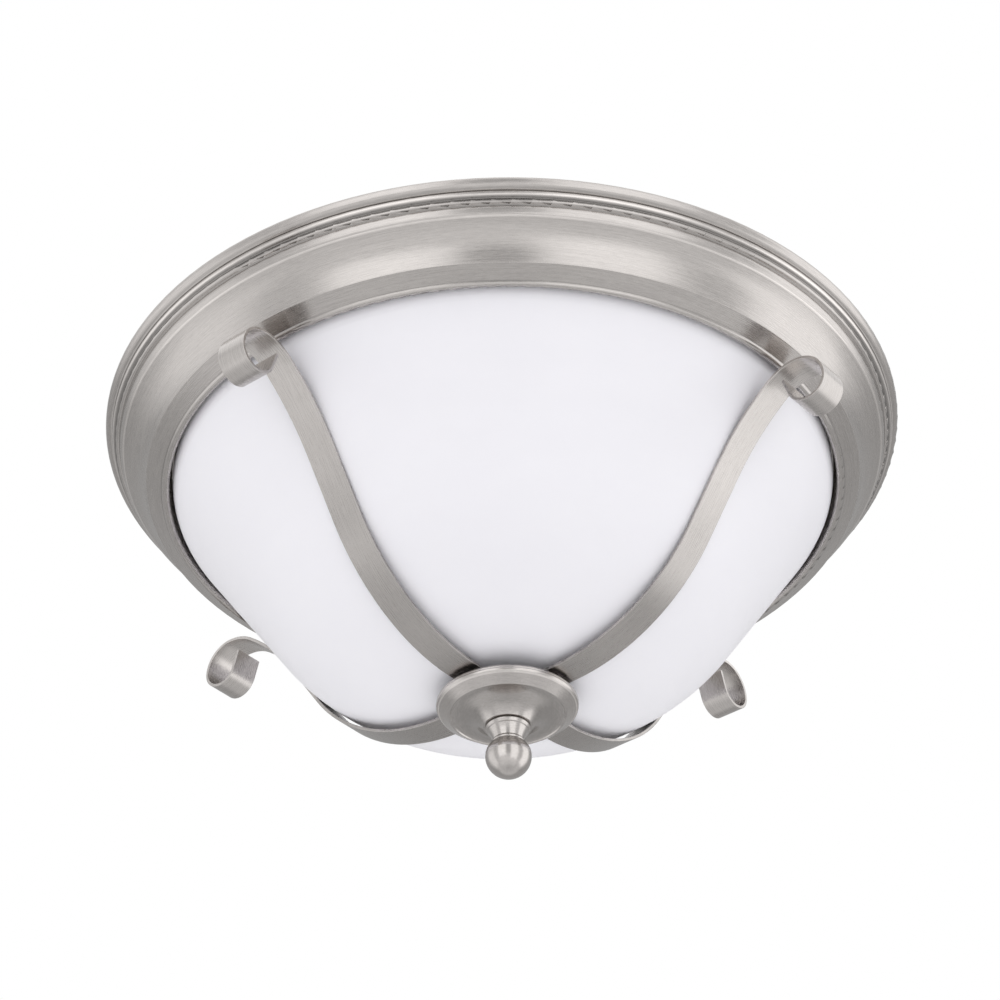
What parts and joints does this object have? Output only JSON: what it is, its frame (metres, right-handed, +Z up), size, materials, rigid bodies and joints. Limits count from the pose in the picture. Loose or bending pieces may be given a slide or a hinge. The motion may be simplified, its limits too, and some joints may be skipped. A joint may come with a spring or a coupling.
{
  "type": "flush mount ceiling light",
  "caption": "Ceiling light with a spun round pan, an opal glass bowl held up by scrolled metal straps, a cup and a ball finial, and two lampholders inside.",
  "frame": {"origin": "centre of the crossbar's two box-screw slots, on the ceiling plane at the top of the light", "axes": "+Z up into the ceiling, +X along the crossbar; the four straps lie along +X, +Y, -X and -Y"},
  "size_m": [0.3812, 0.3812, 0.1866],
  "materials": {
    "brushed_nickel": "satin, brushed",
    "zinc_steel": "bright zinc plate",
    "green_screw": "green dyed zinc",
    "brass": "bright brass",
    "shell_aluminium": "rolled sheet",
    "porcelain": "glazed",
    "mineral_fibre": "matt felted fibre",
    "foam": "closed-cell foam",
    "felt": "felt",
    "black_rubber": "matt",
    "black_glass": "gloss",
    "frosted_glass": "frosted",
    "opal_glass": "opal, satin",
    "black_lead": "smooth",
    "white_lead": "smooth",
    "green_lead": "smooth",
    "orange_plastic": "moulded"
  },
  "bodies": {
    "fixture": {"canopy_pan": "brushed_nickel", "insulation_pad": "mineral_fibre", "crossbar": "zinc_steel", "ground_screw": "green_screw", "pan_studs": "zinc_steel", "stud_nuts": "zinc_steel", "cap_nuts": "brass", "threaded_rod": "zinc_steel", "rod_nut_upper": "zinc_steel", "rod_washer": "zinc_steel", "rod_nut_lower": "zinc_steel", "glass_gasket": "foam", "socket_bracket_1": "zinc_steel", "socket_bracket_2": "zinc_steel", "bracket_screws": "zinc_steel", "socket_body_1": "porcelain", "socket_body_2": "porcelain", "socket_shell_1": "shell_aluminium", "socket_shell_2": "shell_aluminium", "socket_contact_1": "brass", "socket_contact_2": "brass", "socket_screws": "zinc_steel", "grommet_1": "black_rubber", "grommet_2": "black_rubber", "lead_black_1": "black_lead", "lead_white_1": "white_lead", "lead_black_2": "black_lead", "lead_white_2": "white_lead", "connector_black": "orange_plastic", "connector_white": "orange_plastic", "earth_lead": "green_lead", "earth_screw": "zinc_steel"},
    "glass_cage": {"glass_bowl": "opal_glass", "felt_washer": "felt", "strap_1": "brushed_nickel", "strap_2": "brushed_nickel", "strap_3": "brushed_nickel", "strap_4": "brushed_nickel", "strap_hub": "zinc_steel", "strap_rivets": "zinc_steel"},
    "cup": {"cup": "brushed_nickel", "cup_spacer": "zinc_steel"},
    "finial": {"finial": "brushed_nickel"},
    "lamp_1_tip": {"lamp_tip_1": "black_glass"},
    "lamp_1": {"lamp_base_1": "shell_aluminium", "lamp_globe_1": "frosted_glass"},
    "lamp_2_tip": {"lamp_tip_2": "black_glass"},
    "lamp_2": {"lamp_base_2": "shell_aluminium", "lamp_globe_2": "frosted_glass"}
  },
  "joints": [
    {"name": "bowl_lower", "type": "slide", "parent": "fixture", "child": "glass_cage", "axis": [0, 0, -1], "range_m": [0, 0.13]},
    {"name": "finial_travel", "type": "slide", "parent": "glass_cage", "child": "cup", "axis": [0, 0, -1], "range_m": [0, 0.00753]},
    {"name": "finial_turn", "type": "hinge", "parent": "cup", "child": "finial", "pos_m": [0, 0, -0.17], "axis": [0, 0, -1], "range_deg": [0, 2880]},
    {"name": "lamp_1_travel", "type": "slide", "parent": "fixture", "child": "lamp_1_tip", "axis": [1, 0, 0], "range_m": [0, 0.01451]},
    {"name": "lamp_1_turn", "type": "hinge", "parent": "lamp_1_tip", "child": "lamp_1", "pos_m": [-0.055, 0.038, -0.057], "axis": [1, 0, 0], "range_deg": [0, 1440]},
    {"name": "lamp_2_travel", "type": "slide", "parent": "fixture", "child": "lamp_2_tip", "axis": [-1, 0, 0], "range_m": [0, 0.01451]},
    {"name": "lamp_2_turn", "type": "hinge", "parent": "lamp_2_tip", "child": "lamp_2", "pos_m": [0.055, -0.038, -0.057], "axis": [-1, 0, 0], "range_deg": [0, 1440]}
  ],
  "couplings": [
    {"joint": "finial_turn", "follows": "finial_travel", "rad_per_m": 6679},
    {"joint": "lamp_1_turn", "follows": "lamp_1_travel", "rad_per_m": 1731.6},
    {"joint": "lamp_2_turn", "follows": "lamp_2_travel", "rad_per_m": 1731.6}
  ]
}
